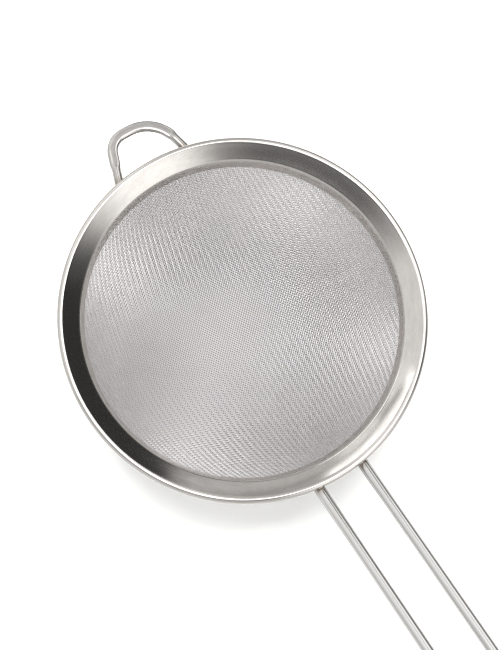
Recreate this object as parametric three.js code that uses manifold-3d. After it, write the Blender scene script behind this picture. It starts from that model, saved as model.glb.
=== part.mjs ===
// Round-bowl kitchen strainer in stainless steel. A pressed rim with a curled edge carries a bowl of woven
// wire, which a clamp ring holds under it. The handle is one rod bent into a U, and a rest loop faces it.
// Millimetres, +Z up, +X along the handle. The origin is under the middle of the footprint.

import * as THREE from 'three';
import { mergeVertices } from 'three/addons/utils/BufferGeometryUtils.js';
import Module from 'manifold-3d';

const { degToRad } = THREE.MathUtils;

// Rim frame, pressed from one sheet: curled edge, flared band and steep neck
const RIM_DIAMETER = 200;
const RIM_SHEET = 0.9;
const CURL_DIAMETER = 4.6;
const CURL_ROLL = degToRad(250);
const BAND_WIDTH = 8.8;
const BAND_SLOPE = degToRad(30);
const NECK_DROP = 4.8;
const NECK_SLOPE = degToRad(70);

// Bowl of twilled wire: the real cloth is far finer, so each wire here stands for a strip of it
const BOWL_DEPTH = 61;
const WIRES_EACH_SIDE = 9;
const WIRES_PER_FLOAT = 2;
const WIRE_DIAMETER = 1.2;
const WIRE_BITE = 1.5;
const WEAVE_TURN = degToRad(40.5);
const HEM_COVER = 0.2;
const HEM_HEADROOM = 0.6;
const WEAVE_END = 0.25;

// Clamp ring
const CLAMP_SHEET = 0.8;

// Handle, one rod bent into a U
const HANDLE_ROD = 6;
const HANDLE_SPACING = 27.2;
const HANDLE_REACH = 190;
const HANDLE_ANGLE = degToRad(16);

// Rest loop, a lopsided arch with one tight and one wide bend, its crown pressed flat
const LOOP_ROD = 5.2;
const LOOP_FOOT_SPACING = 40.6;
const LOOP_ASIDE = 0.9;
const LOOP_TIGHT_LEAN = degToRad(18.6);
const LOOP_TIGHT_BEND = 11;
const LOOP_WIDE_LEAN = degToRad(14.6);
const LOOP_REACH = 24.8;
const CROWN_STRAIGHT = 4;
const CROWN_WIDTH = 6.2;
const CROWN_THICKNESS = 3.9;
const CROWN_START = 9;
const CROWN_RAMP = 3;

// Clearances
const SEAT_GAP = 0.3;
const CROSSING_GAP = 0.4;

// Facets
const TURN_SEGMENTS = 72;
const CURL_STEPS = 9;
const ROD_SIDES = 12;
const WIRE_SIDES = 4;
const BEND_STEPS = 8;
const LOOP_STEP = 3;

const wasm = await Module();
wasm.setup();

// A closed geometry as a solid that can be joined and cut
function solidOf(geometry) {
  const bare = geometry.clone();
  bare.deleteAttribute('normal');
  bare.deleteAttribute('uv');
  const merged = mergeVertices(bare);
  return new wasm.Manifold(new wasm.Mesh({
    numProp: 3,
    vertProperties: new Float32Array(merged.attributes.position.array),
    triVerts: new Uint32Array(merged.index.array),
  }));
}

function geometryOf(solid) {
  const mesh = solid.getMesh();
  const geometry = new THREE.BufferGeometry();
  geometry.setAttribute('position', new THREE.BufferAttribute(mesh.vertProperties, 3));
  geometry.setIndex(new THREE.BufferAttribute(mesh.triVerts, 1));
  geometry.computeVertexNormals();
  return geometry;
}

// A closed section, given as points (radius, height), turned about Z
function revolve(section) {
  const outline = [...section, section[0]];
  const turned = new THREE.LatheGeometry(outline, TURN_SEGMENTS);
  turned.rotateX(Math.PI / 2);
  return turned;
}

// A path through given stations. At each one its section keeps a direction upright, and spreads across it
class StationPath extends THREE.Curve {
  constructor(stations, uprights, spreads) {
    super();
    this.stations = stations;
    this.uprights = uprights;
    this.spreads = spreads;
  }

  getPointAt(u) {
    return this.stations[Math.round(u * (this.stations.length - 1))].clone();
  }

  computeFrenetFrames() {
    const last = this.stations.length - 1;
    const tangents = this.stations.map((_, k) => new THREE.Vector3()
      .subVectors(this.stations[Math.min(k + 1, last)], this.stations[Math.max(k - 1, 0)])
      .normalize());
    const normals = this.uprights.map((up, k) => up.clone()
      .addScaledVector(tangents[k], -up.dot(tangents[k]))
      .normalize());
    const binormals = tangents.map((tangent, k) => new THREE.Vector3()
      .crossVectors(tangent, normals[k])
      .multiplyScalar(this.spreads[k]));
    return { tangents, normals, binormals };
  }
}

// A round wire or rod of the given diameter along a path, its facets facing the uprights
function sweep(diameter, sides, stations, uprights, spreads = stations.map(() => 1)) {
  const corners = Array.from({ length: sides }, (_, k) => {
    const angle = (2 * Math.PI * (k + 0.5)) / sides;
    return new THREE.Vector2(Math.cos(angle), Math.sin(angle)).multiplyScalar(diameter / 2);
  });
  return new THREE.ExtrudeGeometry(new THREE.Shape(corners), {
    steps: stations.length - 1,
    bevelEnabled: false,
    extrudePath: new StationPath(stations, uprights, spreads),
  });
}

// Stations along straight runs through the given corners, each inner corner rounded to its bend radius
function bentStations(corners, bends, longestStep) {
  const stations = [corners[0]];
  const runTo = (end) => {
    const start = stations.at(-1);
    const steps = Math.ceil(start.distanceTo(end) / longestStep);
    for (let step = 1; step <= steps; step += 1) {
      stations.push(start.clone().lerp(end, step / steps));
    }
  };
  bends.forEach((radius, k) => {
    const corner = corners[k + 1];
    const before = new THREE.Vector3().subVectors(corner, corners[k]).normalize();
    const after = new THREE.Vector3().subVectors(corners[k + 2], corner).normalize();
    const turn = before.angleTo(after);
    const inward = after.clone().addScaledVector(before, -after.dot(before)).normalize();
    const start = corner.clone().addScaledVector(before, -radius * Math.tan(turn / 2));
    if (start.distanceTo(stations.at(-1)) > SEAT_GAP) {
      runTo(start);
    }
    for (let step = 1; step <= BEND_STEPS; step += 1) {
      const angle = (turn * step) / BEND_STEPS;
      stations.push(start.clone()
        .addScaledVector(before, radius * Math.sin(angle))
        .addScaledVector(inward, radius * (1 - Math.cos(angle))));
    }
  });
  runTo(corners.at(-1));
  return stations;
}

// A rod that lies flat, or nearly so, along the given stations
function bentRod(diameter, stations, spreads) {
  return sweep(diameter, ROD_SIDES, stations, stations.map(() => new THREE.Vector3(0, 0, 1)), spreads);
}

// The rim's middle line in section, as (radius, height) with the curl's centre at height 0
const heading = (slope) => new THREE.Vector2(Math.cos(slope), Math.sin(slope));
const curlCentre = new THREE.Vector2((RIM_DIAMETER - CURL_DIAMETER) / 2, 0);
const curlRadius = (CURL_DIAMETER - RIM_SHEET) / 2;
const curlStart = BAND_SLOPE + Math.PI / 2;
const curlJoin = curlCentre.clone().addScaledVector(heading(curlStart), curlRadius);
const knee = curlJoin.clone().addScaledVector(heading(BAND_SLOPE), -BAND_WIDTH / Math.cos(BAND_SLOPE));
const neckLength = NECK_DROP / Math.sin(NECK_SLOPE);
const neckEdge = knee.clone().addScaledVector(heading(NECK_SLOPE), -neckLength);
const neckOutward = heading(NECK_SLOPE - Math.PI / 2);

// Section of a band parallel to the neck, given how far its two faces stand out from the sheet's middle
function neckBand(inner, outer) {
  const top = neckLength - HEM_HEADROOM;
  const place = (out, along) => neckEdge.clone()
    .addScaledVector(neckOutward, out)
    .addScaledVector(heading(NECK_SLOPE), along);
  return [place(inner, 0), place(outer, 0), place(outer, top), place(inner, top)];
}

// The hem and the clamp ring lie on the neck like the leaves of a spring
const hemThickness = WIRE_DIAMETER + 2 * HEM_COVER;
const hemInner = RIM_SHEET / 2 + SEAT_GAP;
const hemOuter = hemInner + hemThickness;
const clampInner = hemOuter + SEAT_GAP;
const clampOuter = clampInner + CLAMP_SHEET;

function rimFrame() {
  const curl = Array.from({ length: CURL_STEPS + 1 }, (_, k) => {
    const angle = curlStart - (CURL_ROLL * k) / CURL_STEPS;
    return curlCentre.clone().addScaledVector(heading(angle), curlRadius);
  });
  const line = [neckEdge, knee, ...curl];
  const last = line.length - 1;
  const face = (side) => line.map((point, k) => {
    const before = new THREE.Vector2().subVectors(point, line[Math.max(k - 1, 0)]).normalize();
    const after = new THREE.Vector2().subVectors(line[Math.min(k + 1, last)], point).normalize();
    const along = before.clone().add(after).normalize();
    const across = new THREE.Vector2(-along.y, along.x);
    const stretch = Math.max(before.dot(along), after.dot(along));
    return point.clone().addScaledVector(across, (side * RIM_SHEET) / 2 / stretch);
  });
  return revolve([...face(-1), ...face(1).reverse()]);
}

function clampRing() {
  return revolve(neckBand(clampInner, clampOuter));
}

// The bowl is a spherical cap that hangs from the lower end of the hem's middle line
const hemMiddle = (hemInner + hemOuter) / 2;
const capEdge = neckEdge.clone().addScaledVector(neckOutward, hemMiddle);
const capRadius = (capEdge.x ** 2 + BOWL_DEPTH ** 2) / (2 * BOWL_DEPTH);
const capCentre = new THREE.Vector3(0, 0, capEdge.y - BOWL_DEPTH + capRadius);
const capAngle = Math.acos((capRadius - BOWL_DEPTH) / capRadius);
const wiresEachSide = Math.round(WIRES_EACH_SIDE);
const wiresPerFloat = Math.round(WIRES_PER_FLOAT);
const wireStep = capAngle / (wiresEachSide + 1);

const awayFromPole = (direction) => Math.acos(THREE.MathUtils.clamp(-direction.z, -1, 1));

// Directions from the cap's centre to the crossings of a net with equal sides, as cloth drapes. Two wires
// cross squarely at the pole, and each further crossing mirrors the last one about its two neighbours
function drapedNet() {
  const net = new Map();
  const at = (i, j) => net.get(`${i},${j}`);
  const put = (i, j, direction) => net.set(`${i},${j}`, direction);
  const fromPole = (angle, turn) => new THREE.Vector3(
    Math.sin(angle) * Math.cos(turn),
    Math.sin(angle) * Math.sin(turn),
    -Math.cos(angle),
  );
  const reach = 2 * wiresEachSide;
  for (let k = -reach; k <= reach; k += 1) {
    put(k, 0, fromPole(k * wireStep, WEAVE_TURN));
    put(0, k, fromPole(k * wireStep, WEAVE_TURN + Math.PI / 2));
  }
  for (const [across, along] of [[1, 1], [1, -1], [-1, 1], [-1, -1]]) {
    for (let i = 1; i <= reach; i += 1) {
      for (let j = 1; j <= reach; j += 1) {
        const left = at(across * i, along * (j - 1));
        const right = at(across * (i - 1), along * j);
        const inside = [left, right].some((side) => side && awayFromPole(side) < capAngle);
        if (left && right && inside) {
          const mirror = new THREE.Vector3().crossVectors(left, right).normalize();
          put(across * i, along * j, at(across * (i - 1), along * (j - 1)).clone().reflect(mirror));
        }
      }
    }
  }
  return at;
}

// One wire of the net, from hem to hem, passing over two and under two of the wires that it crosses, a wire
// later than its neighbour does. It stops weaving a share of a step before the hem, where the crossing would
// lie half in the hem
function wovenWire(crossing, number, side) {
  const lift = (WIRE_DIAMETER + CROSSING_GAP) / 2;
  const overOrUnder = (index) => (Math.floor((number + index) / wiresPerFloat) % 2 ? -side : side);
  const onCap = (direction, out) => capCentre.clone().addScaledVector(direction, capRadius + out);
  const inHem = (direction) => {
    const turn = Math.atan2(direction.y, direction.x);
    const place = capEdge.clone().addScaledVector(heading(NECK_SLOPE), WIRE_BITE);
    return new THREE.Vector3(place.x * Math.cos(turn), place.x * Math.sin(turn), place.y);
  };
  const half = (way) => {
    const run = [];
    let k = way;
    while (awayFromPole(crossing(k)) < capAngle) {
      run.push({ direction: crossing(k), index: k });
      k += way;
    }
    const inner = crossing(k - way);
    const share = (capAngle - awayFromPole(inner)) / (awayFromPole(crossing(k)) - awayFromPole(inner));
    const edge = inner.clone().lerp(crossing(k), share).normalize();
    const weaveAngle = capAngle - WEAVE_END * wireStep;
    const shown = run.filter(({ direction }) => awayFromPole(direction) < weaveAngle);
    return { edge, shown };
  };
  const [back, front] = [half(-1), half(1)];
  const woven = [...back.shown.reverse(), { direction: crossing(0), index: 0 }, ...front.shown];
  const stations = [
    inHem(back.edge),
    onCap(back.edge, 0),
    ...woven.map(({ direction, index }) => onCap(direction, overOrUnder(index) * lift)),
    onCap(front.edge, 0),
    inHem(front.edge),
  ];
  const wovenUprights = woven.map(({ direction }) => direction);
  const directions = [back.edge, back.edge, ...wovenUprights, front.edge, front.edge];
  return sweep(WIRE_DIAMETER, WIRE_SIDES, stations, directions);
}

function meshBowl() {
  const net = drapedNet();
  let bowl = solidOf(revolve(neckBand(hemInner, hemOuter)));
  for (let i = -wiresEachSide; i <= wiresEachSide; i += 1) {
    bowl = bowl.add(solidOf(wovenWire((j) => net(i, j), i, 1)));
    bowl = bowl.add(solidOf(wovenWire((j) => net(j, i), i, -1)));
  }
  return geometryOf(bowl);
}

// Height of a rod's axis where it passes under the curl, and the distance of that place from the bowl's axis
const underCurl = (rod) => -(CURL_DIAMETER + rod) / 2 - SEAT_GAP;
const curlAt = (aside) => Math.sqrt(curlCentre.x ** 2 - aside ** 2);

// What the ends of the rods are cut to, so that they seat on the clamp ring
function copedRod(rod) {
  const overrun = 2 * neckLength;
  const seat = neckEdge.clone().addScaledVector(neckOutward, clampOuter + SEAT_GAP);
  const low = seat.clone().addScaledVector(heading(NECK_SLOPE), -overrun);
  const high = seat.clone().addScaledVector(heading(NECK_SLOPE), overrun);
  const core = revolve([new THREE.Vector2(0, low.y), low, high, new THREE.Vector2(0, high.y)]);
  return solidOf(rod).subtract(solidOf(core));
}

function handleRod() {
  const side = HANDLE_SPACING / 2;
  const foot = neckEdge.x;
  const tip = RIM_DIAMETER / 2 + HANDLE_REACH - (HANDLE_ROD / 2) * Math.cos(HANDLE_ANGLE);
  const atCurl = underCurl(HANDLE_ROD) / Math.cos(HANDLE_ANGLE);
  const height = (x) => atCurl + (x - curlAt(side)) * Math.tan(HANDLE_ANGLE);
  const corner = (x, y) => new THREE.Vector3(x, y, height(x));
  const corners = [corner(foot, -side), corner(tip, -side), corner(tip, side), corner(foot, side)];
  const stations = bentStations(corners, [side, side], HANDLE_REACH);
  return geometryOf(copedRod(bentRod(HANDLE_ROD, stations)));
}

function restLoop() {
  const height = underCurl(LOOP_ROD);
  const rim = RIM_DIAMETER / 2;
  const crown = rim + LOOP_REACH - CROWN_WIDTH / 2;
  const flat = rim + CROWN_START;
  const leg = (side, lean) => [neckEdge.x, crown].map((out) => {
    const fromMiddle = LOOP_FOOT_SPACING / 2 - (out - rim) * Math.tan(lean);
    return new THREE.Vector3(-out, LOOP_ASIDE + side * fromMiddle, height);
  });
  const corners = [...leg(-1, LOOP_TIGHT_LEAN), ...leg(1, LOOP_WIDE_LEAN).reverse()];
  // The wide bend takes what the tight bend and the straight leave of the crown
  const setback = (lean) => Math.tan((Math.PI / 2 - lean) / 2);
  const tightRun = LOOP_TIGHT_BEND * setback(LOOP_TIGHT_LEAN);
  const wideRun = corners[1].distanceTo(corners[2]) - CROWN_STRAIGHT - tightRun;
  const wideBend = wideRun / setback(LOOP_WIDE_LEAN);
  const stations = bentStations(corners, [LOOP_TIGHT_BEND, wideBend], LOOP_STEP);
  const widening = CROWN_WIDTH / LOOP_ROD - 1;
  const pressed = (out) => THREE.MathUtils.smoothstep(out, flat - CROWN_RAMP, flat);
  const spreads = stations.map(({ x }) => 1 + widening * pressed(-x));
  const rod = copedRod(bentRod(LOOP_ROD, stations, spreads));
  // The press: a block above and one below, each with a sloping lead-in where the flat begins
  const beyond = rim + 2 * LOOP_REACH;
  const press = new THREE.Shape([
    new THREE.Vector2(CROWN_RAMP - flat, LOOP_ROD),
    new THREE.Vector2(CROWN_RAMP - flat, LOOP_ROD / 2),
    new THREE.Vector2(-flat, CROWN_THICKNESS / 2),
    new THREE.Vector2(-beyond, CROWN_THICKNESS / 2),
    new THREE.Vector2(-beyond, LOOP_ROD),
  ]);
  const upper = new THREE.ExtrudeGeometry(press, { depth: 2 * LOOP_FOOT_SPACING, bevelEnabled: false });
  upper.rotateX(Math.PI / 2);
  upper.translate(0, LOOP_FOOT_SPACING, 0);
  const lower = upper.clone().rotateX(Math.PI);
  upper.translate(0, 0, height);
  lower.translate(0, 0, height);
  return geometryOf(rod.subtract(solidOf(upper)).subtract(solidOf(lower)));
}

const satinSteel = { color: 0xb4b2ad, roughness: 0.38, metalness: 1 };
const polishedSteel = { color: 0xc6c4c0, roughness: 0.16, metalness: 1 };
const wovenSteel = { color: 0xa9a6a2, roughness: 0.45, metalness: 1 };

function part(name, geometry, finish) {
  const mesh = new THREE.Mesh(geometry, new THREE.MeshStandardMaterial(finish));
  mesh.name = name;
  return mesh;
}

const strainer = new THREE.Group();
strainer.add(
  part('rim_frame', rimFrame(), satinSteel),
  part('mesh_bowl', meshBowl(), wovenSteel),
  part('clamp_ring', clampRing(), satinSteel),
  part('handle_rod', handleRod(), polishedSteel),
  part('rest_loop', restLoop(), polishedSteel),
);

// Stand the strainer on its bowl, with the origin under the middle of its footprint
const footprint = new THREE.Box3().setFromObject(strainer);
const centre = footprint.getCenter(new THREE.Vector3());
strainer.position.set(-centre.x, -centre.y, -footprint.min.z);

export default strainer;
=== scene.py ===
"""Round-bowl kitchen strainer in stainless steel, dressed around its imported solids.

The pressed rim, the woven bowl, the clamp ring, the handle and the rest loop are rebuilt finely, each in the
place of its solid. Sizes are real ones in millimetres, measured from the middle of the rim at the height of
the curl's centre, and each mesh is written in metres in the part's own frame.
"""

import logging
import math
from dataclasses import dataclass, field
from enum import Enum
from typing import Any, ClassVar, Sequence

import bpy
import numpy as np
from mathutils import Matrix, Vector


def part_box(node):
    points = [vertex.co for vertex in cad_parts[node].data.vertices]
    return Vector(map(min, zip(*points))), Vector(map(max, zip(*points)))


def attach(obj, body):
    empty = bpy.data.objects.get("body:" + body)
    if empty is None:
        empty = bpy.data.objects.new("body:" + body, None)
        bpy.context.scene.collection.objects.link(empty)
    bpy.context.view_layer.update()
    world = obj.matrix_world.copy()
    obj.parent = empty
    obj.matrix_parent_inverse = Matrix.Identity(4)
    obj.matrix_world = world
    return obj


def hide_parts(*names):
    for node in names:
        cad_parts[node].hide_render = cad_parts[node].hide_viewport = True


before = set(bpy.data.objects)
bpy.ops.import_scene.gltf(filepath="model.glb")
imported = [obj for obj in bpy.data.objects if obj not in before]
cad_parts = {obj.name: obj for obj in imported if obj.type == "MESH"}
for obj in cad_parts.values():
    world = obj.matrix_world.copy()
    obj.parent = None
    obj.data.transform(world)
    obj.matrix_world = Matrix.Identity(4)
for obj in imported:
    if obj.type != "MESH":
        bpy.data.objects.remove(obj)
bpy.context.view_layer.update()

BODY = "root"
MM = 0.001
GRAIN_MAP = "surface_mm"
BAKE_MAP = "OFBake"
LOG = logging.getLogger("strainer")
TINY = 1e-6

# Spacing of the baking map, as shares: its sides, the gap beside each strip, and the caps of the rods
BAKE_SIDE = 0.01
BAKE_GAP = 0.04
CAP_SPOTS = (0.25, 0.75)
CAP_RADIUS = 0.4

# How fine the noise of the grain and of the duller patches is, and how far a patch is drawn out
GRAIN_DETAIL = 3.0
GRAIN_ROUGHNESS = 0.6
PATCH_DETAIL = 4.0
PATCH_ROUGHNESS = 0.65
PATCH_STRETCH = 2.5
QUARTER_TURN = 0.25

Socket = bpy.types.NodeSocket
Tree = bpy.types.NodeTree


class Slot(Enum):
    """The record's material slots."""

    SATIN = "satin_steel"
    POLISHED = "polished_steel"
    WOVEN = "woven_steel"


class WireSet(Enum):
    """The two sets of wires in the cloth."""

    WARP = "warp"
    WEFT = "weft"


def linear(colour: str) -> tuple[float, float, float, float]:
    """Turns an sRGB hex colour into linear light.

    Args:
        colour: Six hex digits after a hash.

    Returns:
        Red, green, blue and an alpha of one.
    """
    shares = [int(colour[k : k + 2], 16) / 255 for k in (1, 3, 5)]
    light = [s / 12.92 if s <= 0.04045 else ((s + 0.055) / 1.055) ** 2.4 for s in shares]
    return light[0], light[1], light[2], 1.0


def unit(vectors: np.ndarray) -> np.ndarray:
    """One vector, or each of several rows, at a length of one."""
    return vectors / np.linalg.norm(vectors, axis=-1, keepdims=True)


def add_node(
    tree: Tree,
    kind: str,
    settings: dict[str, Any] | None = None,
    inputs: dict[str | int, Any] | None = None,
) -> bpy.types.Node:
    """Adds a node with its settings and links.

    Args:
        tree: The node tree that gets the node.
        kind: Blender's name for the type of node.
        settings: Properties of the node, by name.
        inputs: Values, or output sockets to link, by the input's name or place.

    Returns:
        The new node.
    """
    node = tree.nodes.new(kind)
    for key, value in (settings or {}).items():
        setattr(node, key, value)
    for key, value in (inputs or {}).items():
        if isinstance(value, Socket):
            tree.links.new(value, node.inputs[key])
        else:
            node.inputs[key].default_value = value
    return node


def reckon(tree: Tree, operation: str, *values: Any) -> Socket:
    """Adds a sum to a node tree.

    Args:
        tree: The node tree that gets the sum.
        operation: Blender's name for the sum.
        values: Its numbers, or the sockets that give them.

    Returns:
        The socket that gives the result.
    """
    node = add_node(tree, "ShaderNodeMath", {"operation": operation}, dict(enumerate(values)))
    return node.outputs[0]


@dataclass(frozen=True)
class SteelFinish:
    """Stainless steel with a grain that runs along the surface's first direction.

    Attributes:
        name: The material's name.
        colour: Tone of the clean metal.
        worn_colour: Tone of the duller patches.
        roughness: Mean roughness.
        roughness_swing: How far the grain moves the roughness either way.
        grain_width: Width of one line of grain, in mm.
        grain_length: Length of one line of grain, in mm.
        grain_depth: Depth of the grain, in mm.
        patch_size: Size of the duller patches, in mm.
        anisotropy: How far the grain draws a highlight out across itself.
        dulling: Roughness that the duller patches add.
    """

    name: str
    colour: str
    worn_colour: str
    roughness: float
    roughness_swing: float
    grain_width: float
    grain_length: float
    grain_depth: float
    patch_size: float
    anisotropy: float
    dulling: float = 0.05

    def build(self) -> bpy.types.Material:
        """Makes the material.

        Returns:
            The finished material.
        """
        material = bpy.data.materials.new(self.name)
        material.use_nodes = True
        tree = material.node_tree
        shader = tree.nodes["Principled BSDF"]
        grain, patches = self.patterns(tree)
        tone = add_node(tree, "ShaderNodeMix", {"data_type": "RGBA"}, {
            0: patches, 6: linear(self.colour), 7: linear(self.worn_colour)})
        rough = add_node(tree, "ShaderNodeMapRange", None, {
            "Value": grain,
            "To Min": self.roughness - self.roughness_swing,
            "To Max": self.roughness + self.roughness_swing})
        dulled = reckon(tree, "MULTIPLY_ADD", patches, self.dulling, rough.outputs[0])
        bump = add_node(tree, "ShaderNodeBump", None, {
            "Strength": 1.0, "Distance": self.grain_depth * MM, "Height": grain})
        tangent = add_node(tree, "ShaderNodeTangent", {"direction_type": "UV_MAP", "uv_map": GRAIN_MAP})
        shader.inputs["Metallic"].default_value = 1.0
        shader.inputs["Anisotropic"].default_value = self.anisotropy
        shader.inputs["Anisotropic Rotation"].default_value = QUARTER_TURN
        tree.links.new(self.tinted(tree, tone.outputs[2]), shader.inputs["Base Color"])
        tree.links.new(dulled, shader.inputs["Roughness"])
        tree.links.new(bump.outputs[0], shader.inputs["Normal"])
        tree.links.new(tangent.outputs[0], shader.inputs["Tangent"])
        return material

    def patterns(self, tree: Tree) -> tuple[Socket, Socket]:
        """Adds the grain and the duller patches.

        Args:
            tree: The material's node tree.

        Returns:
            The sockets that give the grain and the patches, each from 0 to 1.
        """
        place = add_node(tree, "ShaderNodeUVMap", {"uv_map": GRAIN_MAP})
        drawn = add_node(tree, "ShaderNodeMapping", None, {
            "Vector": place.outputs[0], "Scale": (1 / self.grain_length, 1 / self.grain_width, 1)})
        grain = add_node(tree, "ShaderNodeTexNoise", None, {
            "Vector": drawn.outputs[0], "Scale": 1.0, "Detail": GRAIN_DETAIL, "Roughness": GRAIN_ROUGHNESS})
        spread = add_node(tree, "ShaderNodeMapping", None, {
            "Vector": place.outputs[0],
            "Scale": (1 / (PATCH_STRETCH * self.patch_size), 1 / self.patch_size, 1)})
        patches = add_node(tree, "ShaderNodeTexNoise", None, {
            "Vector": spread.outputs[0], "Scale": 1.0, "Detail": PATCH_DETAIL, "Roughness": PATCH_ROUGHNESS})
        return grain.outputs[0], patches.outputs[0]

    def tinted(self, tree: Tree, tone: Socket) -> Socket:
        """Leaves the tone as it is; a welded finish browns it near the weld."""
        return tone


@dataclass(frozen=True)
class WeldedSteelFinish(SteelFinish):
    """Steel rod that was welded on at one end, where the heat has browned it.

    Attributes:
        tint: Colour of the heat tint.
        weld_radius: Distance of the weld from the bowl's axis, in mm.
        tint_reach: How far the tint spreads along the rod, in mm.
        tint_share: Share of the tint at the weld itself.
        centre: Middle of the rim in the part's frame, in mm.
    """

    tint: str = "#6b5236"
    weld_radius: float = 99.0
    tint_reach: float = 6.0
    tint_share: float = 0.6
    centre: tuple[float, float, float] = (0.0, 0.0, 0.0)

    def tinted(self, tree: Tree, tone: Socket) -> Socket:
        """Browns the tone near the weld.

        Args:
            tree: The material's node tree.
            tone: The socket that gives the clean tone.

        Returns:
            The socket that gives the tinted tone.
        """
        place = add_node(tree, "ShaderNodeTexCoord")
        middle = tuple(MM * c for c in self.centre)
        away = add_node(tree, "ShaderNodeVectorMath", {"operation": "SUBTRACT"}, {
            0: place.outputs["Object"], 1: middle})
        flat = add_node(tree, "ShaderNodeVectorMath", {"operation": "MULTIPLY"}, {
            0: away.outputs[0], 1: (1.0, 1.0, 0.0)})
        radius = add_node(tree, "ShaderNodeVectorMath", {"operation": "LENGTH"}, {0: flat.outputs[0]})
        heat = add_node(tree, "ShaderNodeMapRange", {"interpolation_type": "SMOOTHSTEP"}, {
            "Value": radius.outputs[1],
            "From Min": MM * self.weld_radius,
            "From Max": MM * (self.weld_radius + self.tint_reach),
            "To Min": self.tint_share,
            "To Max": 0.0})
        mixed = add_node(tree, "ShaderNodeMix", {"data_type": "RGBA"}, {
            0: heat.outputs[0], 6: tone, 7: linear(self.tint)})
        return mixed.outputs[2]


@dataclass(frozen=True)
class FloorFinish:
    """Matt white paper sweep: an even pale ground with hardly any gloss, with a painted shade under the
    bowl.

    Attributes:
        name: The material's name.
        colour: Tone of the paper.
        painted_shade_colour: Tone of the paper in the painted shade under the cloth.
        painted_reflection_shade: Darker tone of the paper as the steel mirrors it, a painted shade in the
            reflections.
        roughness: Roughness of the paper.
        shade_place: Middle of the painted shade on the floor, in mm.
        shade_radius: Radius of the shade, in mm.
        shade_edge: Width of its soft edge, in mm.
        gloss: Strength of the paper's own shine.
    """

    name: str
    colour: str
    painted_shade_colour: str
    painted_reflection_shade: str
    roughness: float
    shade_place: tuple[float, float]
    shade_radius: float = 100.0
    shade_edge: float = 30.0
    gloss: float = 0.2

    def build(self) -> bpy.types.Material:
        """Makes the material.

        Returns:
            The finished material.
        """
        material = bpy.data.materials.new(self.name)
        material.use_nodes = True
        tree = material.node_tree
        shader = tree.nodes["Principled BSDF"]
        # Painted shade: the paper darkens inside the shade's radius, softly over its edge
        place = add_node(tree, "ShaderNodeTexCoord")
        away = add_node(tree, "ShaderNodeVectorMath", {"operation": "DISTANCE"}, {
            0: place.outputs["Object"], 1: (MM * self.shade_place[0], MM * self.shade_place[1], 0.0)})
        shade = add_node(tree, "ShaderNodeMapRange", {"interpolation_type": "SMOOTHSTEP"}, {
            "Value": away.outputs[1],
            "From Min": MM * (self.shade_radius - self.shade_edge / 2),
            "From Max": MM * (self.shade_radius + self.shade_edge / 2)})
        seen = add_node(tree, "ShaderNodeMix", {"data_type": "RGBA"}, {
            0: shade.outputs[0], 6: linear(self.painted_shade_colour), 7: linear(self.colour)})
        # Painted shade in the reflections: glossy rays see the paper in a darker tone than the camera does
        ray = add_node(tree, "ShaderNodeLightPath")
        tone = add_node(tree, "ShaderNodeMix", {"data_type": "RGBA"}, {
            0: ray.outputs["Is Glossy Ray"], 6: seen.outputs[2], 7: linear(self.painted_reflection_shade)})
        tree.links.new(tone.outputs[2], shader.inputs["Base Color"])
        shader.inputs["Roughness"].default_value = self.roughness
        shader.inputs["Specular IOR Level"].default_value = self.gloss
        return material


@dataclass
class Tube:
    """Rings of points that a mesh joins into one closed skin.

    Attributes:
        rings: Points in mm, as an array of stations by points round a ring by 3.
        loop: True where the last ring joins the first.
    """

    rings: np.ndarray
    loop: bool = False

    def outward(self) -> "Tube":
        """Turns the rings so that the skin faces outwards.

        Returns:
            This tube, or one with its rings reversed.
        """
        ahead = np.roll(self.rings, -1, axis=0) if self.loop else self.rings[1:]
        here = self.rings if self.loop else self.rings[:-1]
        beside = np.roll(here, -1, axis=1)
        volume = np.einsum("ijk,ijk->", here, np.cross(ahead, beside))
        volume += np.einsum("ijk,ijk->", beside, np.cross(ahead, np.roll(ahead, -1, axis=1)))
        return self if volume > 0 else Tube(self.rings[:, ::-1], self.loop)


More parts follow.
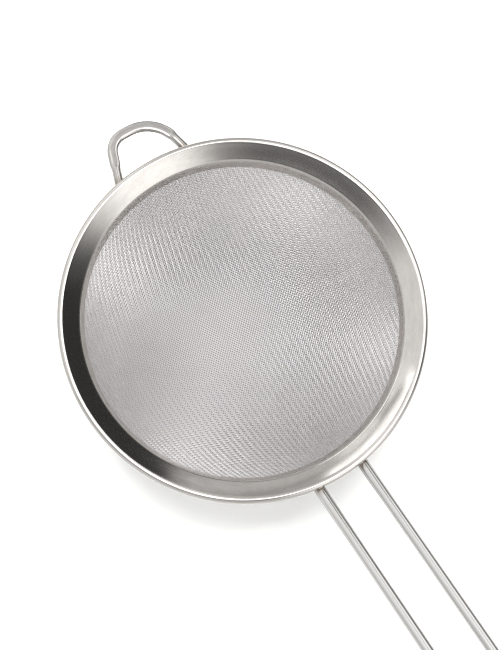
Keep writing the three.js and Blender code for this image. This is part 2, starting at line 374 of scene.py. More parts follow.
def skin(
    name: str, tubes: Sequence[Tube], centre: Vector, sharp: float = math.radians(40)
) -> bpy.types.Object:
    """Makes one mesh of several tubes, with a map of its surface in mm and one for baking.

    Args:
        name: Name of the piece.
        tubes: The tubes, measured from the middle of the rim.
        centre: Middle of the rim in the part's frame, in mm.
        sharp: Edges that bend more than this stay sharp.

    Returns:
        The new object, linked to the scene.
    """
    points: list[np.ndarray] = []
    faces: list[tuple[int, ...]] = []
    grain: list[np.ndarray] = []
    bake: list[np.ndarray] = []
    start = 0
    strips = len(tubes) + 1
    for index, tube in enumerate(t.outward() for t in tubes):
        rows, columns, _ = tube.rings.shape
        spans = rows if tube.loop else rows - 1
        here = start + np.arange(spans)[:, None] * columns + np.arange(columns)
        ahead = start + (np.arange(1, spans + 1)[:, None] % rows) * columns + np.arange(columns)
        quads = np.stack([here, ahead, np.roll(ahead, -1, axis=1), np.roll(here, -1, axis=1)], axis=-1)
        faces.extend(map(tuple, quads.reshape(-1, 4).tolist()))
        steps = np.linalg.norm(np.roll(tube.rings, -1, axis=0) - tube.rings, axis=2).mean(axis=1)
        along = np.concatenate([[0.0], np.cumsum(steps[:spans])])
        edges = np.linalg.norm(np.roll(tube.rings, -1, axis=1) - tube.rings, axis=2).mean(axis=0)
        around = np.concatenate([[0.0], np.cumsum(edges)])
        u = np.stack([along[:-1], along[1:], along[1:], along[:-1]], axis=-1)[:, None, :]
        v = np.stack([around[:-1], around[:-1], around[1:], around[1:]], axis=-1)[None, :, :]
        u, v = np.broadcast_arrays(u, v)
        grain.append(np.stack([u, v], axis=-1).reshape(-1, 2))
        strip = (index + BAKE_GAP + (1 - 2 * BAKE_GAP) * v / around[-1]) / strips
        reach = BAKE_SIDE + (1 - 2 * BAKE_SIDE) * u / along[-1]
        bake.append(np.stack([reach, strip], axis=-1).reshape(-1, 2))
        if not tube.loop:
            turn = 2 * np.pi * np.arange(columns) / columns
            disc = np.stack([np.cos(turn), np.sin(turn)], axis=-1)
            for end, middle in zip((0, rows - 1), CAP_SPOTS):
                ring = start + end * columns + np.arange(columns)
                cap = ring if end == 0 else ring[::-1]
                faces.append(tuple(cap.tolist()))
                spot = np.array([middle, (strips - 0.5) / strips])
                order = disc if end == 0 else disc[::-1]
                grain.append(order * around[-1] / (2 * np.pi))
                bake.append(spot + order * CAP_RADIUS / strips)
        points.append(tube.rings.reshape(-1, 3))
        start += rows * columns
    mesh = bpy.data.meshes.new(name)
    place = (np.concatenate(points) + np.array(centre)) * MM
    mesh.from_pydata(place.tolist(), [], faces)
    for label, corners in ((GRAIN_MAP, grain), (BAKE_MAP, bake)):
        layer = mesh.uv_layers.new(name=label)
        layer.data.foreach_set("uv", np.concatenate(corners).astype(np.float32).ravel())
    mesh.polygons.foreach_set("use_smooth", np.ones(len(mesh.polygons), dtype=bool))
    mesh.set_sharp_from_angle(angle=sharp)
    mesh.update()
    piece = bpy.data.objects.new(name, mesh)
    bpy.context.scene.collection.objects.link(piece)
    return piece


def dress(piece: bpy.types.Object, material: bpy.types.Material, node: str | None) -> None:
    """Gives a piece its finish, hangs it on the body and hides the solid that it stands for.

    Args:
        piece: The piece.
        material: Its material.
        node: The solid that it replaces, if any.
    """
    piece.data.materials.append(material)
    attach(piece, BODY)
    if node:
        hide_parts(node)
    LOG.info("%s: %d faces", piece.name, len(piece.data.polygons))


def revolved(outline: np.ndarray, segments: int) -> Tube:
    """Turns a closed outline about the bowl's axis.

    Args:
        outline: Points (radius, height) in mm.
        segments: Number of steps round the axis.

    Returns:
        The ring-shaped tube.
    """
    turn = 2 * np.pi * np.arange(segments) / segments
    radius, height = outline[:, 0], outline[:, 1]
    rings = np.stack([
        np.cos(turn)[:, None] * radius,
        np.sin(turn)[:, None] * radius,
        np.broadcast_to(height, (segments, len(outline))),
    ], axis=-1)
    return Tube(rings, loop=True)


def sheet_outline(line: np.ndarray, thickness: float, cap_steps: int = 6) -> np.ndarray:
    """Thickens a section's middle line into a closed outline with round edges.

    Args:
        line: Points (radius, height) along the middle of the sheet.
        thickness: Thickness of the sheet in mm.
        cap_steps: Steps round each edge of the sheet.

    Returns:
        The outline's points.
    """
    ahead = unit(np.gradient(line, axis=0))
    across = np.stack([-ahead[:, 1], ahead[:, 0]], axis=-1)
    half = thickness / 2
    sweep = np.linspace(0, np.pi, cap_steps + 1)[1:-1, None]
    end = line[-1] + half * (np.cos(sweep) * across[-1] + np.sin(sweep) * ahead[-1])
    start = line[0] - half * (np.cos(sweep) * across[0] + np.sin(sweep) * ahead[0])
    return np.concatenate([line + half * across, end, (line - half * across)[::-1], start])


def heading(angle: float) -> np.ndarray:
    """A unit step at an angle in the section's plane."""
    return np.array([math.cos(angle), math.sin(angle)])


def rounded(
    corners: Sequence[np.ndarray], bends: Sequence[float], step: float, bend_steps: int
) -> np.ndarray:
    """Points along straight runs through corners, with each inner corner rounded.

    Args:
        corners: The corners, in the plane or in space.
        bends: Bend radius at each inner corner, in mm.
        step: Longest step along a straight run, in mm.
        bend_steps: Steps round each bend.

    Returns:
        The points.
    """
    points = [np.asarray(corners[0], float)]

    def run_to(end: np.ndarray) -> None:
        """Adds the points of a straight run."""
        begin = points[-1]
        count = math.ceil(np.linalg.norm(end - begin) / step - TINY)
        points.extend(begin + (end - begin) * (k + 1) / count for k in range(count))

    for k, radius in enumerate(bends):
        corner = np.asarray(corners[k + 1], float)
        before = unit(corner - corners[k])
        after = unit(corners[k + 2] - corner)
        turn = math.acos(np.clip(before @ after, -1, 1))
        inward = unit(after - before * (after @ before))
        begin = corner - before * radius * math.tan(turn / 2)
        run_to(begin)
        for n in range(1, bend_steps + 1):
            angle = turn * n / bend_steps
            points.append(begin + radius * (before * math.sin(angle) + inward * (1 - math.cos(angle))))
    run_to(np.asarray(corners[-1], float))
    return np.array(points)


def swept(
    stations: np.ndarray,
    uprights: np.ndarray,
    widths: np.ndarray,
    heights: np.ndarray,
    sides: int,
    pressed: np.ndarray | None = None,
    flat: float = 1.0,
) -> np.ndarray:
    """Rings of an oval section along a run.

    Args:
        stations: Points along the run, in mm.
        uprights: Direction at each station that the section keeps upright.
        widths: Width of the section at each station.
        heights: Height of the section at each station.
        sides: Points round the section.
        pressed: Share at each station by which the section is pressed flat, if it is.
        flat: Height of the section where it is fully pressed.

    Returns:
        The rings, as stations by sides by 3.
    """
    along = unit(np.gradient(stations, axis=0))
    up = unit(uprights - along * np.einsum("ij,ij->i", uprights, along)[:, None])
    aside = np.cross(along, up)
    turn = 2 * np.pi * (np.arange(sides) + 0.5) / sides
    across = np.cos(turn) * widths[:, None] / 2
    upward = np.sin(turn) * heights[:, None] / 2
    if pressed is not None:
        limit = flat / 2
        flattened = limit * np.cbrt(np.tanh((upward / limit) ** 3))
        upward += pressed[:, None] * (flattened - upward)
    return stations[:, None] + across[..., None] * aside[:, None] + upward[..., None] * up[:, None]


@dataclass
class RimFrame:
    """The rim: a curled edge, a flared band and a steep neck, pressed from one sheet."""

    finish: SteelFinish
    diameter: float = 200.0
    sheet: float = 0.9
    curl_diameter: float = 4.6
    curl_roll: float = math.radians(250)
    band_width: float = 8.8
    band_slope: float = math.radians(30)
    band_hollow: float = 0.12
    neck_drop: float = 4.8
    neck_slope: float = math.radians(70)
    knee_bend: float = 3.0
    segments: int = 360
    curl_steps: int = 40
    knee_steps: int = 8
    step: float = 0.8
    ring_rows: int = 9
    ring_segments: int = 288

    @property
    def centre(self) -> Vector:
        """Middle of the rim in the part's frame, in mm."""
        low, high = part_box("rim_frame")
        return Vector(((low.x + high.x) / 2, 0, high.z - MM * self.curl_diameter / 2)) / MM

    @property
    def curl_centre(self) -> np.ndarray:
        """Middle of the curl in section."""
        return np.array([(self.diameter - self.curl_diameter) / 2, 0.0])

    @property
    def curl_join(self) -> np.ndarray:
        """Where the band runs into the curl, in section."""
        radius = (self.curl_diameter - self.sheet) / 2
        return self.curl_centre + radius * heading(self.band_slope + math.pi / 2)

    @property
    def knee(self) -> np.ndarray:
        """Where the band would meet the neck, in section, if the bend were sharp."""
        return self.curl_join - heading(self.band_slope) * self.band_width / math.cos(self.band_slope)

    @property
    def neck_length(self) -> float:
        """Length of the neck along its slope."""
        return self.neck_drop / math.sin(self.neck_slope)

    @property
    def neck_edge(self) -> np.ndarray:
        """Lower edge of the neck, in section."""
        return self.knee - heading(self.neck_slope) * self.neck_length

    @property
    def neck_outward(self) -> np.ndarray:
        """Direction square to the neck, away from the bowl's axis."""
        return heading(self.neck_slope - math.pi / 2)

    def beside_neck(self, out: float, along: float) -> np.ndarray:
        """Place in section that is so far out from the neck and so far up along it."""
        return self.neck_edge + self.neck_outward * out + heading(self.neck_slope) * along

    def ring(self, out: float, span: tuple[float, float], sheet: float) -> Tube:
        """A plain ring of sheet that lies along the neck.

        Args:
            out: How far its middle stands out from the neck.
            span: Where its middle line starts and ends, up along the neck.
            sheet: Its thickness.

        Returns:
            The ring's tube.
        """
        line = np.array([self.beside_neck(out, along) for along in np.linspace(*span, self.ring_rows)])
        return revolved(sheet_outline(line, sheet), self.ring_segments)

    def line(self) -> np.ndarray:
        """Middle line of the sheet in section, from the neck's edge to the end of the curl.

        Returns:
            Points (radius, height) in mm.
        """
        corners = [self.neck_edge, self.knee, self.curl_join]
        lower = rounded(corners, [self.knee_bend], self.step, self.knee_steps)
        over = heading(self.band_slope + math.pi / 2)
        share = np.clip((lower - self.knee) @ heading(self.band_slope), 0, None)
        share /= np.linalg.norm(self.curl_join - self.knee)
        lower = lower - over * (self.band_hollow * np.sin(np.pi * share))[:, None]
        start = self.band_slope + math.pi / 2
        turn = np.linspace(0, self.curl_roll, self.curl_steps + 1)[1:]
        radius = (self.curl_diameter - self.sheet) / 2
        curl = [self.curl_centre + radius * heading(start - angle) for angle in turn]
        return np.concatenate([lower, curl])

    def build(self) -> None:
        """Makes the rim and dresses it."""
        tube = revolved(sheet_outline(self.line(), self.sheet), self.segments)
        piece = skin("pressed_rim", [tube], self.centre)
        dress(piece, self.finish.build(), "rim_frame")


@dataclass
class ClampRing:
    """The ring that clamps the cloth's edge against the neck."""

    rim: RimFrame
    finish: SteelFinish
    offset: float = 2.95
    sheet: float = 0.8
    headroom: float = 0.6
    seat_gap: float = 0.1

    @property
    def seat(self) -> float:
        """How far out from the middle of the neck the rods' ends lie, just off the ring."""
        return self.offset + self.sheet / 2 + self.seat_gap

    def build(self) -> None:
        """Makes the ring and dresses it."""
        top = self.rim.neck_length - self.headroom - self.sheet / 2
        ring = self.rim.ring(self.offset, (self.sheet / 2, top), self.sheet)
        piece = skin("clamp_band", [ring], self.rim.centre)
        dress(piece, self.finish.build(), "clamp_ring")


@dataclass
class WovenBowl:
    """The bowl of twilled wire cloth, draped over a round form, and its gathered edge."""

    rim: RimFrame
    finish: SteelFinish
    depth: float = 61.0
    warp_pitch: float = 1.335
    weft_pitch: float = 1.28
    wire: float = 0.56
    warp_bearing: float = math.radians(135.4)
    weft_bearing: float = math.radians(35.7)
    float_length: int = 2
    hem_middle: float = 1.55
    hem_sheet: float = 1.3
    hem_headroom: float = 0.8
    hem_foot: float = 0.3
    bite: float = 1.6
    wire_sides: int = 4
    flat_share: float = 0.92
    edge_share: float = 0.3
    spare: int = 6

    @property
    def edge(self) -> np.ndarray:
        """Where the cloth leaves the hem, in section."""
        return self.rim.beside_neck(self.hem_middle, 0)

    @property
    def radius(self) -> float:
        """Radius of the form, which runs up into the neck's slope."""
        return float(self.edge[0] ** 2 + self.depth ** 2) / (2 * self.depth)

    @property
    def centre(self) -> Vector:
        """Centre of the form."""
        return Vector((0, 0, self.edge[1] - self.depth + self.radius))

    @property
    def run(self) -> float:
        """Length along the form from the pole to the edge."""
        return self.radius * math.acos(1 - self.depth / self.radius)

    def outward(self, point: Vector) -> Vector:
        """Direction square to the form at a point."""
        return (point - self.centre).normalized()

    def along(self, run: float, bearing: float) -> Vector:
        """Point on the form at a run along it from the pole, or against it below zero.

        Args:
            run: Length along the form.
            bearing: Bearing of the run.

        Returns:
            The point.
        """
        angle = run / self.radius
        level = Vector((math.cos(bearing), math.sin(bearing), 0))
        return self.centre + self.radius * (level * math.sin(angle) - Vector((0, 0, math.cos(angle))))

    def net(self) -> dict[tuple[int, int], Vector]:
        """Crossings of a net whose cells keep their sides, as cloth drapes.

        Two wires cross at the pole. Each cell is then closed by turning its inner crossing half round the
        middle of the two beside it, which keeps both pitches.

        Returns:
            The crossings by the numbers of the warp wire and the weft wire.
        """
        found: dict[tuple[int, int], Vector] = {}
        across = math.ceil(self.run / self.warp_pitch) + self.spare
        along = math.ceil(self.run / self.weft_pitch) + self.spare
        limit = self.edge[1] + self.spare * min(self.warp_pitch, self.weft_pitch) / 2
        for k in range(-across, across + 1):
            found[k, 0] = self.along(k * self.warp_pitch, self.weft_bearing)
        for k in range(-along, along + 1):
            found[0, k] = self.along(k * self.weft_pitch, self.warp_bearing)
        for one, two in ((1, 1), (1, -1), (-1, 1), (-1, -1)):
            for i in range(1, across + 1):
                for j in range(1, along + 1):
                    left = found.get((one * (i - 1), two * j))
                    right = found.get((one * i, two * (j - 1)))
                    if left is None or right is None or min(left.z, right.z) > limit:
                        continue
                    last = found[one * (i - 1), two * (j - 1)] - self.centre
                    middle = self.outward((left + right) / 2)
                    found[one * i, two * j] = self.centre + middle * (2 * middle.dot(last)) - last
        return found

    def wire_tube(self, net: dict[tuple[int, int], Vector], number: int, wires: WireSet) -> Tube:
        """One wire from hem to hem, over two and under two of the wires that it crosses.

        Args:
            net: The crossings.
            number: The wire's number, from the middle.
            wires: The set that it belongs to.

        Returns:
            The wire's tube.
        """
        limit = self.edge[1]
        side = 1 if wires is WireSet.WARP else -1

        def crossing(k: int) -> Vector:
            """The wire's crossing with wire k of the other set."""
            return net[(number, k) if wires is WireSet.WARP else (k, number)]

        def lifted(k: int) -> Vector:
            """The wire's middle at that crossing."""
            over = side if (number + k) // self.float_length % 2 else -side
            return crossing(k) + self.outward(crossing(k)) * (over * self.wire / 2)

        def half(way: int) -> list[Vector]:
            """Places from the middle to one hem."""
            run = []
            k = way
            while crossing(k).z < limit:
                run.append(lifted(k))
                k += way
            inner, outer = crossing(k - way), crossing(k)
            share = (limit - inner.z) / (outer.z - inner.z)
            if run and share < self.edge_share:
                run.pop()
            edge = inner.lerp(outer, share)
            return [*run, edge, self.in_hem(edge)]

        marks = [*half(-1)[::-1], lifted(0), *half(1)]
        outward = np.array([self.outward(place) for place in marks])
        size = np.full(len(marks), self.wire * self.flat_share / math.cos(math.pi / self.wire_sides))
        return Tube(swept(np.array(marks), outward, size, size, self.wire_sides))

    def in_hem(self, edge: Vector) -> Vector:
        """Where a wire ends inside the hem, above the place where it leaves the form."""
        radius, height = self.rim.beside_neck(self.hem_middle, self.bite)
        level = Vector((edge.x, edge.y, 0)).normalized()
        return level * radius + Vector((0, 0, height))

    def build(self) -> None:
        """Makes both sets of wires and the hem, and dresses them."""
        net = self.net()
        material = self.finish.build()
        for wires, pitch in ((WireSet.WARP, self.warp_pitch), (WireSet.WEFT, self.weft_pitch)):
            each_side = math.floor(self.run / pitch - self.edge_share)
            tubes = [self.wire_tube(net, number, wires) for number in range(-each_side, each_side + 1)]
            piece = skin(f"cloth_{wires.value}", tubes, self.rim.centre, math.pi)
            dress(piece, material, "mesh_bowl")
        top = self.rim.neck_length - self.hem_headroom - self.hem_sheet / 2
        ring = self.rim.ring(self.hem_middle, (self.hem_sheet / 2 + self.hem_foot, top), self.hem_sheet)
        hem = skin("cloth_hem", [ring], self.rim.centre)
        dress(hem, material, "mesh_bowl")


@dataclass
class RodSeat:
    """What the ends of the rods are cut to: the outer face of the clamp ring."""

    rim: RimFrame
    clamp: ClampRing
    rounds: int = 12

    def radius(self, height: np.ndarray) -> np.ndarray:
        """Distance of the seat from the bowl's axis at a height."""
        foot = self.rim.beside_neck(self.clamp.seat, 0)
        return foot[0] + (height - foot[1]) / math.tan(self.rim.neck_slope)

    def cope(self, ring: np.ndarray, along: np.ndarray) -> np.ndarray:
        """Slides the points of an end ring along the rod until they lie on the seat.

        Args:
            ring: The ring's points.
            along: Unit direction of the rod there, away from the bowl.

        Returns:
            The points on the seat.
        """
        points = ring.copy()
        for _ in range(self.rounds):
            level = np.linalg.norm(points[:, :2], axis=1)
            outward = points[:, :2] @ along[:2] / level - along[2] / math.tan(self.rim.neck_slope)
            points += ((self.radius(points[:, 2]) - level) / outward)[:, None] * along
        return points


@dataclass
class BentRod:
    """A rod that is bent flat, passes close under the curl and is welded to the clamp ring at both ends."""

    piece_name: ClassVar[str]
    node: ClassVar[str]
    rim: RimFrame
    seat: RodSeat
    finish: SteelFinish
    rod: float = 6.0
    clearance: float = 0.3
    sides: int = 40
    step: float = 4.0
    bend_steps: int = 24

    def under_curl(self) -> float:
        """Height of the rod's axis where it passes under the curl, square to the rod."""
        return -(self.rim.curl_diameter + self.rod) / 2 - self.clearance

    def coped(self, rings: np.ndarray) -> np.ndarray:
        """Cuts both ends of the rod to the seat.

        Args:
            rings: The rod's rings, from end to end.

        Returns:
            The rings with the first and the last one on the seat.
        """
        for end, inner in ((0, 1), (-1, -2)):
            along = unit(rings[inner].mean(axis=0) - rings[end].mean(axis=0))
            rings[end] = self.seat.cope(rings[end], along)
        return rings

    def rings(self) -> np.ndarray:
        """The rod's rings from end to end, which each kind of rod gives."""
        raise NotImplementedError

    def build(self) -> np.ndarray:
        """Makes the rod and dresses it.

        Returns:
            The rod's rings.
        """
        rings = self.rings()
        piece = skin(self.piece_name, [Tube(rings)], self.rim.centre)
        dress(piece, self.finish.build(), self.node)
        return rings


@dataclass
class HandleRod(BentRod):
    """The handle: one rod bent into a long U."""

    piece_name: ClassVar[str] = "handle_u_rod"
    node: ClassVar[str] = "handle_rod"
    spacing: float = 27.2
    reach: float = 190.0
    rise: float = math.radians(16)
    bend_share: float = 0.999

    def rings(self) -> np.ndarray:
        """The rod's rings, from one foot round the bend to the other.

        Returns:
            The rings, as stations by sides by 3.
        """
        side = self.spacing / 2
        tip = self.rim.diameter / 2 + self.reach - self.rod / 2 * math.cos(self.rise)
        at_curl = math.sqrt(self.rim.curl_centre[0] ** 2 - side ** 2)
        foot = self.rim.neck_edge[0] + self.rod / 2
        level = self.under_curl() / math.cos(self.rise)

        def corner(x: float, y: float) -> np.ndarray:
            """Corner of the U on its rising plane."""
            return np.array([x, y, level + (x - at_curl) * math.tan(self.rise)])

        corners = [corner(foot, -side), corner(tip, -side), corner(tip, side), corner(foot, side)]
        bend = side * self.bend_share
        stations = rounded(corners, [bend, bend], self.step, self.bend_steps)
        uprights = np.tile([-math.sin(self.rise), 0, math.cos(self.rise)], (len(stations), 1))
        size = np.full(len(stations), self.rod)
        return self.coped(swept(stations, uprights, size, size, self.sides))


@dataclass
class RestLoop(BentRod):
    """The rest loop: a lopsided arch of rod whose crown is pressed flat."""

    piece_name: ClassVar[str] = "rest_loop_rod"
    node: ClassVar[str] = "rest_loop"
    rod: float = 5.2
    foot_spacing: float = 40.6
    aside: float = 0.9
    tight_lean: float = math.radians(18.6)
    tight_bend: float = 11.0
    wide_lean: float = math.radians(14.6)
    reach: float = 24.8
    crown_straight: float = 4.0
    crown_width: float = 6.2
    crown_thickness: float = 3.9
    crown_start: float = 9.0
    crown_ramp: float = 3.0
    step: float = 1.0
    sides: int = 48

    def rings(self) -> np.ndarray:
        """The rod's rings, from one foot over the crown to the other.

        Returns:
            The rings, as stations by sides by 3.
        """
        rim = self.rim.diameter / 2
        crown = rim + self.reach - self.crown_width / 2
        height = self.under_curl()

        def leg(side: int, lean: float) -> list[np.ndarray]:
            """Foot and top corner of a leg."""
            outs = (self.rim.neck_edge[0] + self.rod / 2, crown)
            spread = [self.foot_spacing / 2 - (out - rim) * math.tan(lean) for out in outs]
            return [np.array([-out, self.aside + side * s, height]) for out, s in zip(outs, spread)]

        def setback(lean: float) -> float:
            """Share of a bend's radius that the bend takes from each run."""
            return math.tan((math.pi / 2 - lean) / 2)

        corners = [*leg(-1, self.tight_lean), *leg(1, self.wide_lean)[::-1]]
        crown_run = np.linalg.norm(corners[2] - corners[1])
        wide_run = crown_run - self.crown_straight - self.tight_bend * setback(self.tight_lean)
        bends = [self.tight_bend, wide_run / setback(self.wide_lean)]
        stations = rounded(corners, bends, self.step, self.bend_steps)
        start = rim + self.crown_start
        share = np.clip((-stations[:, 0] - start + self.crown_ramp) / self.crown_ramp, 0, 1)
        share = share * share * (3 - 2 * share)
        widths = self.rod + (self.crown_width - self.rod) * share
        uprights = np.tile([0.0, 0.0, 1.0], (len(stations), 1))
        heights = np.full(len(stations), self.rod)
        bent = swept(stations, uprights, widths, heights, self.sides, share, self.crown_thickness)
        return self.coped(bent)


@dataclass
class WeldBeads:
    """The beads of weld round the rods' feet on the clamp ring."""

    rim: RimFrame
    finish: SteelFinish
    bead: float = 1.1
    ripple: float = 0.12
    ripples: int = 14
    sides: int = 10

    def round_foot(self, ring: np.ndarray) -> Tube:
        """A rippled bead that runs round a rod's foot.

        Args:
            ring: The rod's end ring.

        Returns:
            The bead's tube.
        """
        turn = 2 * np.pi * np.arange(len(ring)) / len(ring)
        size = self.bead * (1 + self.ripple * np.sin(self.ripples * turn))
        outward = unit(ring - ring.mean(axis=0))
        ahead = unit(np.roll(ring, -1, axis=0) - np.roll(ring, 1, axis=0))
        up = np.cross(outward, ahead)
        angle = 2 * np.pi * np.arange(self.sides) / self.sides
        around = np.cos(angle)[:, None] * outward[:, None] + np.sin(angle)[:, None] * up[:, None]
        return Tube(ring[:, None] + around * size[:, None, None] / 2, loop=True)

    def build(self, rods: Sequence[np.ndarray]) -> None:
        """Makes the beads and dresses them.

        Args:
            rods: The rings of each rod.
        """
        tubes = [self.round_foot(rings[end]) for rings in rods for end in (0, -1)]
        piece = skin("weld_beads", tubes, self.rim.centre)
        dress(piece, self.finish.build(), None)


@dataclass(frozen=True)
class Panel:
    """A panel of the studio, lit or dark, as the strainer sees it.

    Attributes:
        bearing: Degrees from the handle's direction, anticlockwise from above.
        height: Degrees above the horizon.
        width: Degrees from side to side.
        tall: Degrees from bottom to top.
        light: Brightness of the panel.
        edge: Degrees over which it fades at its sides.
        brim: Degrees over which it fades at its top and bottom.
        lean: Degrees that it climbs for each degree of bearing.
    """

    bearing: float
    height: float
    width: float
    tall: float
    light: float
    edge: float
    brim: float
    lean: float = 0.0


@dataclass
class Studio:
    """The floor, the light and the camera."""

    rim: RimFrame
    floor: FloorFinish
    floor_size: float = 4000.0
    backdrop: str = "#ffffff"
    dim: float = 0.8
    overhead: float = 3.3
    overhead_edge: tuple[float, float] = (math.radians(53), math.radians(62))
    fill: float = 0.66
    key_bearing: float = math.radians(164)
    key_height: float = math.radians(70)
    key_distance: float = 1500.0
    key_size: float = 900.0
    key_power: float = 54.0
    bearing: float = math.radians(-58.43)
    tilt: float = math.radians(11.605)
    roll: float = math.radians(332.615)
    distance: float = 680.0
    shift_right: float = 2.715
    shift_up: float = -4.819
    lens: float = 70.17
    pixel_filter: float = 1.3
    panels: tuple[Panel, ...] = field(default_factory=lambda: (
        # the light overhead, hung towards the rest loop, and the dimmer ceiling beside it
        Panel(205, 50, 76, 44, 1.35, 20, 12),
        Panel(140, 68, 56, 22, 0.9, 20, 10),
        # the gap above the walls behind the camera and by the handle
        Panel(305, 49, 84, 13, 0.18, 40, 5),
        Panel(358, 64, 50, 22, 0.45, 30, 8),
        # the window beside the handle, the dark wall under it and the one towards the handle
        Panel(104, 50, 56, 26, 1.7, 16, 12),
        Panel(95, 12, 90, 26, 0.22, 20, 8),
        Panel(58, 36, 22, 24, 0.12, 20, 6),
        # the wall behind the rest loop, darker at its foot, and the lighter one beside it
        Panel(147, 27, 46, 24, 0.78, 3, 10),
        Panel(147, 16, 46, 10, 0.4, 3, 6),
        Panel(228, 34, 44, 40, 1.15, 22, 14),
        # the lit table by that wall, the shadow along its edge and a dark thing at its end
        Panel(186, 28.5, 42, 9, 2.4, 4, 1, 0.2),
        Panel(166, 29, 52, 2.0, 0.35, 10, 1.4, 0.26),
        Panel(194, 36.2, 13, 3.4, 0.25, 5, 1.2),
        # the softbox beyond the handle
        Panel(16, 38, 38, 42, 1.9, 26, 10),
    ))
    card_reach: float = 90.0
    card_bearings: tuple[float, float] = (math.radians(75), math.radians(124))
    card_foot: tuple[float, float] = (78.0, 55.0)
    card_top: tuple[float, float] = (300.0, 280.0)
    card_tone: float = 0.045
    card_steps: int = 24

    def light_room(self) -> None:
        """Makes the studio's light, which comes from all round and mostly from above."""
        world = bpy.data.worlds.new("studio")
        bpy.context.scene.world = world
        world.use_nodes = True
        tree = world.node_tree
        sight = add_node(tree, "ShaderNodeTexCoord")
        part = add_node(tree, "ShaderNodeSeparateXYZ", None, {0: sight.outputs["Generated"]})
        bearing = reckon(tree, "ARCTAN2", part.outputs[1], part.outputs[0])
        height = reckon(tree, "ARCSINE", part.outputs[2])

        def hung(light: Socket, panel: Panel) -> Socket:
            """The room's light with one more panel hung in it."""
            turned = reckon(tree, "SUBTRACT", bearing, math.radians(panel.bearing))
            aside = reckon(tree, "WRAP", turned, math.pi, -math.pi)
            climb = reckon(tree, "MULTIPLY_ADD", aside, panel.lean, math.radians(panel.height))
            raised = reckon(tree, "SUBTRACT", height, climb)
            shares = []
            for offset, span, fade in ((aside, panel.width, panel.edge), (raised, panel.tall, panel.brim)):
                shares.append(add_node(tree, "ShaderNodeMapRange", {"interpolation_type": "SMOOTHSTEP"}, {
                    "Value": reckon(tree, "ABSOLUTE", offset),
                    "From Min": math.radians((span - fade) / 2),
                    "From Max": math.radians((span + fade) / 2),
                    "To Min": 1.0,
                    "To Max": 0.0}).outputs[0])
            return add_node(tree, "ShaderNodeMix", {"data_type": "FLOAT"}, {
                0: reckon(tree, "MULTIPLY", *shares), 2: light, 3: panel.light}).outputs[0]

        light = add_node(tree, "ShaderNodeMapRange", {"interpolation_type": "SMOOTHSTEP"}, {
            "Value": height,
            "From Min": self.overhead_edge[0],
            "From Max": self.overhead_edge[1],
            "To Min": self.dim,
            "To Max": self.overhead}).outputs[0]
        for panel in self.panels:
            light = hung(light, panel)
        ray = add_node(tree, "ShaderNodeLightPath")
        fill = reckon(tree, "MULTIPLY", light, self.fill)
        level = add_node(tree, "ShaderNodeMix", {"data_type": "FLOAT"}, {
            0: ray.outputs["Is Diffuse Ray"], 2: light, 3: fill})
        room = add_node(tree, "ShaderNodeBackground", None, {
            "Color": (1.0, 1.0, 1.0, 1.0), "Strength": level.outputs[0]})
        seen = add_node(tree, "ShaderNodeBackground", None, {"Color": linear(self.backdrop)})
        both = add_node(tree, "ShaderNodeMixShader", None, {
            0: ray.outputs["Is Camera Ray"], 1: room.outputs[0], 2: seen.outputs[0]})
        tree.links.new(both.outputs[0], tree.nodes["World Output"].inputs[0])

    def hang_key(self) -> None:
        """Hangs the large soft lamp that lights the floor and throws the pale shadow."""
        level = Vector((math.cos(self.key_bearing), math.sin(self.key_bearing), 0))
        towards = level * math.cos(self.key_height) + Vector((0, 0, math.sin(self.key_height)))
        lamp = bpy.data.objects.new("key_softbox", bpy.data.lights.new("key_softbox", "AREA"))
        lamp.data.size = self.key_size * MM
        lamp.data.energy = self.key_power
        lamp.location = (self.rim.centre + towards * self.key_distance) * MM
        lamp.rotation_euler = towards.to_track_quat("Z", "Y").to_euler()
        lamp.visible_glossy = False
        bpy.context.scene.collection.objects.link(lamp)

    def hold_card(self) -> None:
        """Holds the black card over the far rim, which the near band mirrors and nothing else shows."""
        count = self.card_steps + 1
        turns = np.linspace(*self.card_bearings, count)
        level = np.stack([np.cos(turns), np.sin(turns)], axis=-1) * self.card_reach
        heights = (self.card_foot, self.card_top)
        edges = [np.column_stack([level, np.linspace(*ends, count)]) for ends in heights]
        points = (np.concatenate(edges) + np.array(self.rim.centre)) * MM
        mesh = bpy.data.meshes.new("black_card")
        faces = [(k, k + 1, k + count + 1, k + count) for k in range(self.card_steps)]
        mesh.from_pydata(points.tolist(), [], faces)
        material = bpy.data.materials.new("black_card")
        material.use_nodes = True
        tree = material.node_tree
        glow = add_node(tree, "ShaderNodeEmission", None, {"Strength": self.card_tone})
        tree.links.new(glow.outputs[0], tree.nodes["Material Output"].inputs[0])
        mesh.materials.append(material)
        card = bpy.data.objects.new("black_card", mesh)
        card.visible_camera = False
        card.visible_diffuse = False
        card.visible_shadow = False
        bpy.context.scene.collection.objects.link(card)

    def lay_floor(self) -> None:
        """Makes the floor that the strainer stands on."""
        half = self.floor_size / 2 * MM
        mesh = bpy.data.meshes.new("floor")
        corners = [(-half, -half, 0), (half, -half, 0), (half, half, 0), (-half, half, 0)]
        mesh.from_pydata(corners, [], [(0, 1, 2, 3)])
        floor = bpy.data.objects.new("floor", mesh)
        mesh.materials.append(self.floor.build())
        bpy.context.scene.collection.objects.link(floor)

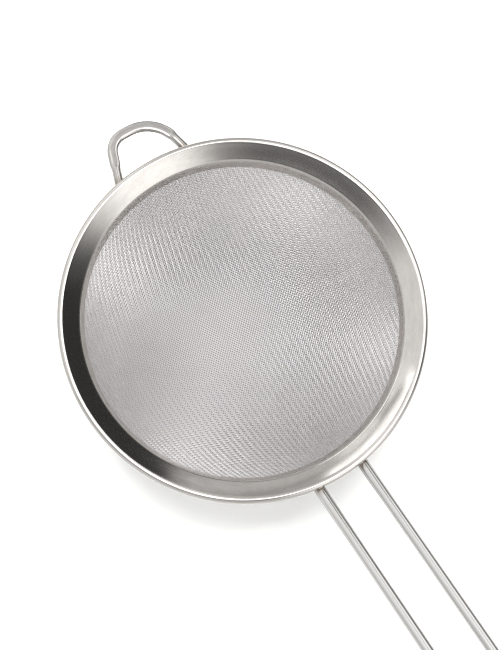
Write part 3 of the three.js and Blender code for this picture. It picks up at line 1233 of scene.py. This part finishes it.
    def place_camera(self) -> None:
        """Sets the camera at the photograph's viewing angle."""
        level = Vector((math.cos(self.bearing), math.sin(self.bearing), 0))
        back = level * math.sin(self.tilt) + Vector((0, 0, math.cos(self.tilt)))
        upright = Vector((0, 0, math.sin(self.tilt))) - level * math.cos(self.tilt)
        up = upright * math.cos(self.roll) + upright.cross(back) * math.sin(self.roll)
        right = up.cross(back)
        place = self.rim.centre + back * self.distance + right * self.shift_right + up * self.shift_up
        camera = bpy.data.objects.new("camera", bpy.data.cameras.new("camera"))
        camera.data.lens = self.lens
        turned = Matrix((right, up, back)).transposed().to_4x4()
        camera.matrix_world = Matrix.Translation(place * MM) @ turned
        bpy.context.scene.collection.objects.link(camera)
        bpy.context.scene.camera = camera

    def build(self) -> None:
        """Makes the studio."""
        self.place_camera()
        self.lay_floor()
        self.hold_card()
        self.light_room()
        self.hang_key()
        bpy.context.scene.view_settings.view_transform = "Standard"
        bpy.context.scene.cycles.filter_width = self.pixel_filter
        bpy.context.scene.cycles.denoising_prefilter = "NONE"


def main() -> None:
    """Builds the strainer and the studio."""
    logging.basicConfig(level=logging.INFO, format="%(message)s")

    # Satin stainless sheet, pressed and polished round the rim: soft-edged reflections, duller in patches
    satin = SteelFinish(
        "pressed_stainless_satin", colour="#d0cdca", worn_colour="#b0aba5",
        roughness=0.07, roughness_swing=0.03, grain_width=0.7, grain_length=3.5, grain_depth=0.002,
        patch_size=5.0, anisotropy=0.3, dulling=0.1)
    rim = RimFrame(satin)
    rim.build()

    clamp = ClampRing(rim, satin)
    clamp.build()

    # Bright-drawn stainless wire in a twill: each bend carries a small highlight
    woven = SteelFinish(
        "woven_stainless_wire", colour="#edebeb", worn_colour="#e2dfdf",
        roughness=0.3, roughness_swing=0.05, grain_width=0.4, grain_length=3.0, grain_depth=0.001,
        patch_size=9.0, anisotropy=0.0)
    WovenBowl(rim, woven).build()

    # Drawn stainless rod, polished: a bright streak along it, browned where it was welded
    middle = tuple(rim.centre)
    polished = WeldedSteelFinish(
        "drawn_stainless_polished", colour="#cecdcb", worn_colour="#c0bebb",
        roughness=0.13, roughness_swing=0.03, grain_width=0.25, grain_length=30.0, grain_depth=0.0015,
        patch_size=10.0, anisotropy=0.3, centre=middle)
    # The same rod pressed flat for the loop: a darker copy with coarse dark streaks along it, painted shade
    pressed = WeldedSteelFinish(
        "pressed_stainless_rod_painted_shade", colour="#c8c6c3", worn_colour="#9a9793",
        roughness=0.12, roughness_swing=0.08, grain_width=0.7, grain_length=40.0, grain_depth=0.006,
        patch_size=3.0, anisotropy=0.3, centre=middle)
    seat = RodSeat(rim, clamp)
    rods = [HandleRod(rim, seat, polished).build(), RestLoop(rim, seat, pressed).build()]

    # Weld metal: dull, rippled and browned
    weld = SteelFinish(
        "stainless_weld", colour="#8d8378", worn_colour="#5f5348",
        roughness=0.42, roughness_swing=0.1, grain_width=0.6, grain_length=0.6, grain_depth=0.03,
        patch_size=2.0, anisotropy=0.0)
    WeldBeads(rim, weld).build(rods)

    # White paper sweep, in a painted shade a little aside of the bowl as the cloth lets little light through
    aside = Vector((-9.0, 14.0))
    shade = tuple(rim.centre.xy + aside)
    # Painted shade: the paper is darker under the bowl and in the steel's reflections
    paper = FloorFinish(
        "white_paper", colour="#f3f3f1", painted_shade_colour="#929292", painted_reflection_shade="#b4b4b3",
        roughness=0.7, shade_place=shade)
    Studio(rim, paper).build()


if __name__ == "__main__":
    main()
